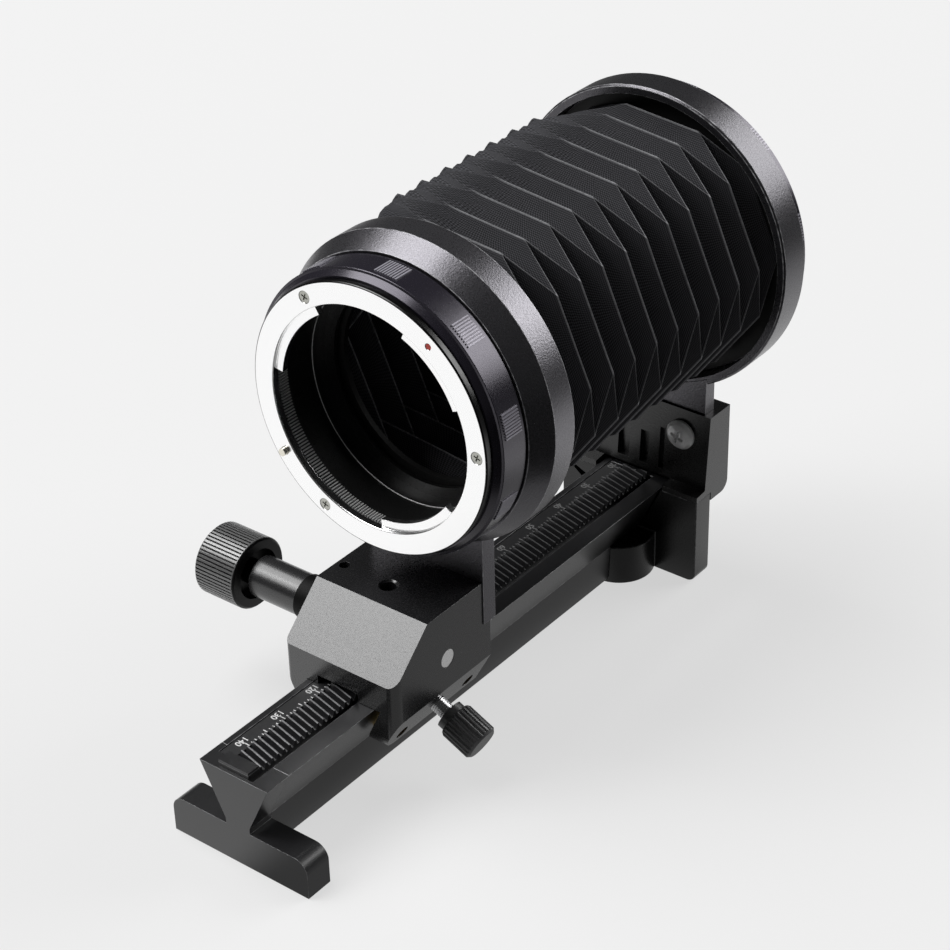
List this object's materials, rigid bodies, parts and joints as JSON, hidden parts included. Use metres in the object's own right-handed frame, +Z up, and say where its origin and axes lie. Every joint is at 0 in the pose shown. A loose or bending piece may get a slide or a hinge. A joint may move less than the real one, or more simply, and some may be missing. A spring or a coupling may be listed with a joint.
{
  "type": "macro bellows unit",
  "caption": "Macro extension bellows: a geared front standard slides on a dovetail rail, with a folded cloth bellows between two round camera mounts.",
  "frame": {"origin": "centre of the tripod socket's mouth, level with the ground under the feet", "axes": "+Y from the lens end towards the camera end, +Z up, +X to the side away from the focus knob"},
  "size_m": [0.0793, 0.1484, 0.1097],
  "materials": {
    "charcoal_metal": "satin charcoal paint",
    "brass": "machined",
    "rack_steel": "blackened with bright tooth tops",
    "scale_black": "satin",
    "block_metal": "satin charcoal with a bright slanted face",
    "bright_steel": "turned",
    "black_plastic": "matte",
    "tube_metal": "satin",
    "gear_brass": "cut",
    "knob_black": "satin, ridged",
    "crinkle_paint": "fine crinkle paint",
    "satin_black": "satin black",
    "chrome": "satin chrome",
    "screw_grey": "plain",
    "red_paint": "paint",
    "pin_steel": "turned",
    "inner_black": "matt black",
    "bellows_cloth": "black twill cloth",
    "saddle_black": "satin black"
  },
  "bodies": {
    "base": {"rail": "charcoal_metal", "front_foot": "charcoal_metal", "rear_foot": "charcoal_metal", "tripod_insert": "brass", "rack": "rack_steel", "scale_strip": "scale_black", "bellows": "bellows_cloth", "rear_frame": "inner_black", "rear_standard": "crinkle_paint", "rear_mount_ring": "satin_black", "rear_bayonet": "chrome", "saddle": "saddle_black", "saddle_screws": "bright_steel"},
    "carriage": {"carriage_block": "block_metal", "gib": "brass", "gib_screws": "brass", "shaft_tube": "tube_metal", "tube_collar": "black_plastic", "front_standard": "crinkle_paint", "front_mount_ring": "satin_black", "bayonet_flange": "chrome", "flange_screws": "screw_grey", "index_dot": "red_paint", "throat_baffle": "inner_black", "front_frame": "inner_black"},
    "focus_shaft": {"pinion_shaft": "bright_steel", "pinion_gear": "gear_brass", "focus_knob": "knob_black"},
    "lock": {"lock_screw": "bright_steel", "lock_knob": "black_plastic"},
    "lens_pin": {"lock_pin": "pin_steel"}
  },
  "joints": [
    {"name": "carriage_slide", "type": "slide", "parent": "base", "child": "carriage", "axis": [0, 1, 0], "range_m": [-0.022, 0.04], "deforming": ["bellows"]},
    {"name": "focus_turn", "type": "hinge", "parent": "carriage", "child": "focus_shaft", "pos_m": [0, -0.07715, 0.0259], "axis": [1, 0, 0], "range_deg": [-500, 275]},
    {"name": "lock_turn", "type": "hinge", "parent": "carriage", "child": "lock", "pos_m": [0.00779, -0.0782, 0.0167], "axis": [0.9023, 0, -0.4312], "range_deg": [-90, 270]},
    {"name": "lens_pin_press", "type": "slide", "parent": "carriage", "child": "lens_pin", "axis": [0, 1, 0], "range_m": [0, 0.0009], "stiffness_N_per_m": 300, "springref_m": -0.001}
  ],
  "couplings": [
    {"joint": "focus_turn", "follows": "carriage_slide", "rad_per_m": -217.35}
  ]
}
